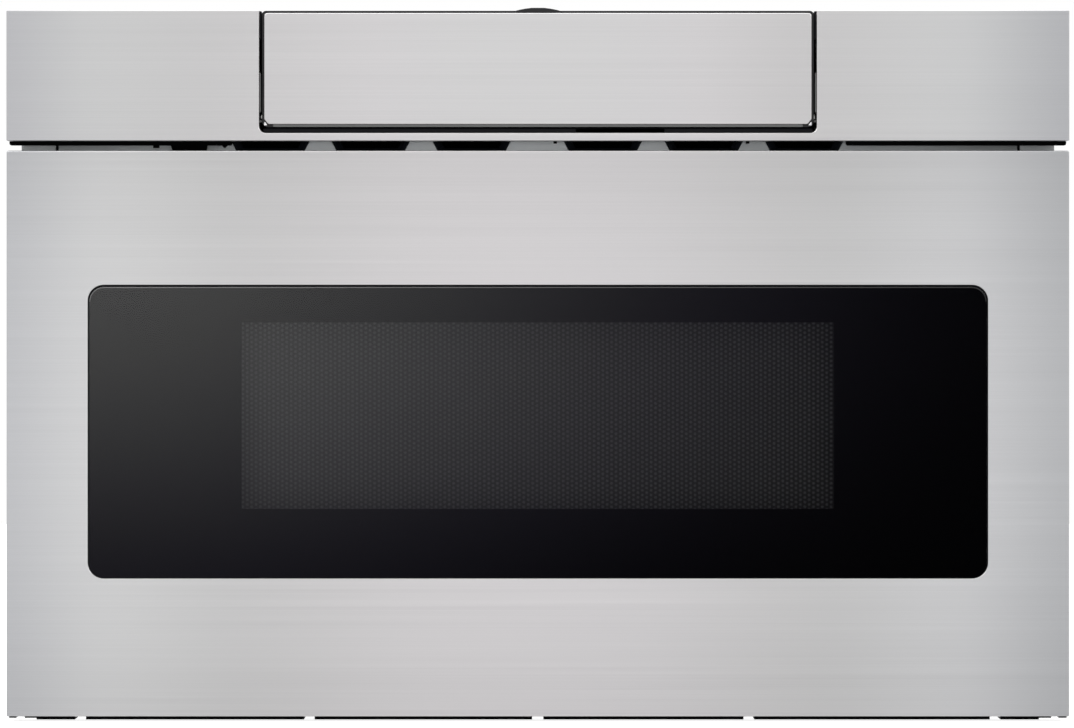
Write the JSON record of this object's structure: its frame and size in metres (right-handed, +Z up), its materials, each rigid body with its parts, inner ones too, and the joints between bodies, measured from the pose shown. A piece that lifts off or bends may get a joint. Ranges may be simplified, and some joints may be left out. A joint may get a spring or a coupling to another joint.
{
  "type": "microwave drawer",
  "caption": "Built-in microwave oven drawer with a stainless front, dark glass window, tilting control panel, telescopic slides and a rack-and-pinion drive.",
  "frame": {"origin": "bottom centre of the bounding box: middle of the width and of the depth, at the height of the lowest edge of the drawer front", "axes": "+X to the right seen from the front, +Y to the back, +Z up; the drawer opens towards -Y"},
  "size_m": [0.6064, 0.5906, 0.4063],
  "materials": {
    "stainless_skin": "satin stainless steel with fine horizontal brushing",
    "black_plastic": "black moulded plastic, fine matte texture",
    "tinted_window_glass": "black tinted polished glass",
    "touch_panel_glass": "opaque black polished glass",
    "galvanised_sheet": "zinc-coated sheet steel, dull grey",
    "cavity_enamel": "grey baked enamel, satin",
    "perforated_screen": "dark painted perforated sheet",
    "slide_steel": "bright zinc-plated rolled steel",
    "choke_plastic": "grey moulded plastic",
    "mica_sheet": "pressed mica sheet",
    "ceramic_plate": "opaque pale glass ceramic, polished",
    "natural_nylon": "unpigmented nylon",
    "plated_steel_parts": "plated steel",
    "aluminium_parts": "plain aluminium",
    "transformer_core": "varnished steel laminations and windings",
    "circuit_board": "green laminate with components",
    "lamp_body": "heat-resistant pale moulding with a clear lens",
    "polished_pin": "polished steel rod"
  },
  "bodies": {
    "chassis": {"back_panel": "galvanised_sheet", "base_plate": "galvanised_sheet", "cavity_ceiling": "cavity_enamel", "cavity_floor": "cavity_enamel", "cavity_left_wall": "cavity_enamel", "cavity_rear_wall": "cavity_enamel", "cavity_right_wall": "cavity_enamel", "cord_inlet": "black_plastic", "drawer_motor": "black_plastic", "exhaust_duct": "black_plastic", "fan_motor": "plated_steel_parts", "fan_shroud": "black_plastic", "fascia_backing": "black_plastic", "fascia_skin": "stainless_skin", "front_frame_left": "galvanised_sheet", "front_frame_right": "galvanised_sheet", "front_frame_sill": "galvanised_sheet", "hv_capacitor": "aluminium_parts", "hv_transformer": "transformer_core", "interlock_switch": "black_plastic", "left_side_panel": "galvanised_sheet", "magnetron": "plated_steel_parts", "mounting_flange_left": "galvanised_sheet", "mounting_flange_right": "galvanised_sheet", "noise_filter_board": "circuit_board", "oven_lamp": "lamp_body", "power_board": "circuit_board", "right_side_panel": "galvanised_sheet", "slide_outer_left": "slide_steel", "slide_outer_right": "slide_steel", "stirrer_cover": "mica_sheet", "stirrer_motor": "plated_steel_parts", "thermal_cutout": "black_plastic", "top_cover": "galvanised_sheet", "vent_panel": "galvanised_sheet", "waveguide": "aluminium_parts"},
    "drawer": {"drawer_front_skin": "stainless_skin", "door_frame": "black_plastic", "door_glass": "tinted_window_glass", "window_screen": "perforated_screen", "choke_cover": "choke_plastic", "drawer_left_side": "cavity_enamel", "drawer_right_side": "cavity_enamel", "drawer_back": "cavity_enamel", "drawer_floor": "cavity_enamel", "ceramic_floor_plate": "ceramic_plate", "slide_inner_left": "slide_steel", "slide_inner_right": "slide_steel", "drive_rack": "natural_nylon", "latch_hook": "natural_nylon"},
    "control_flap": {"flap_skin": "stainless_skin", "flap_housing": "black_plastic", "touch_glass": "touch_panel_glass", "control_board": "circuit_board", "flap_hinge_rod": "polished_pin"},
    "slide_left": {"slide_middle_left": "slide_steel"},
    "slide_right": {"slide_middle_right": "slide_steel"},
    "pinion": {"drive_pinion": "natural_nylon"},
    "stirrer": {"stirrer_antenna": "aluminium_parts"},
    "fan": {"cooling_fan": "black_plastic"}
  },
  "joints": [
    {"name": "drawer_slide", "type": "slide", "parent": "chassis", "child": "drawer", "axis": [0, -1, 0], "range_m": [0, 0.38]},
    {"name": "slide_left_extend", "type": "slide", "parent": "chassis", "child": "slide_left", "axis": [0, -1, 0], "range_m": [0, 0.19]},
    {"name": "slide_right_extend", "type": "slide", "parent": "chassis", "child": "slide_right", "axis": [0, -1, 0], "range_m": [0, 0.19]},
    {"name": "pinion_spin", "type": "hinge", "parent": "chassis", "child": "pinion", "pos_m": [-0.2667, -0.225, 0.064], "axis": [1, 0, 0], "range_deg": [0, 1560]},
    {"name": "control_panel_tilt", "type": "hinge", "parent": "chassis", "child": "control_flap", "pos_m": [0, -0.288, 0.344], "axis": [1, 0, 0], "range_deg": [0, 45]},
    {"name": "stirrer_spin", "type": "hinge", "parent": "chassis", "child": "stirrer", "pos_m": [0, -0.04, 0.28], "axis": [0, 0, 1], "continuous": true},
    {"name": "cooling_fan_spin", "type": "hinge", "parent": "chassis", "child": "fan", "pos_m": [0.15, 0.262, 0.24], "axis": [0, 1, 0], "continuous": true}
  ],
  "couplings": [
    {"joint": "slide_left_extend", "follows": "drawer_slide", "ratio": 0.5},
    {"joint": "slide_right_extend", "follows": "drawer_slide", "ratio": 0.5},
    {"joint": "pinion_spin", "follows": "drawer_slide", "rad_per_m": 71.429}
  ]
}
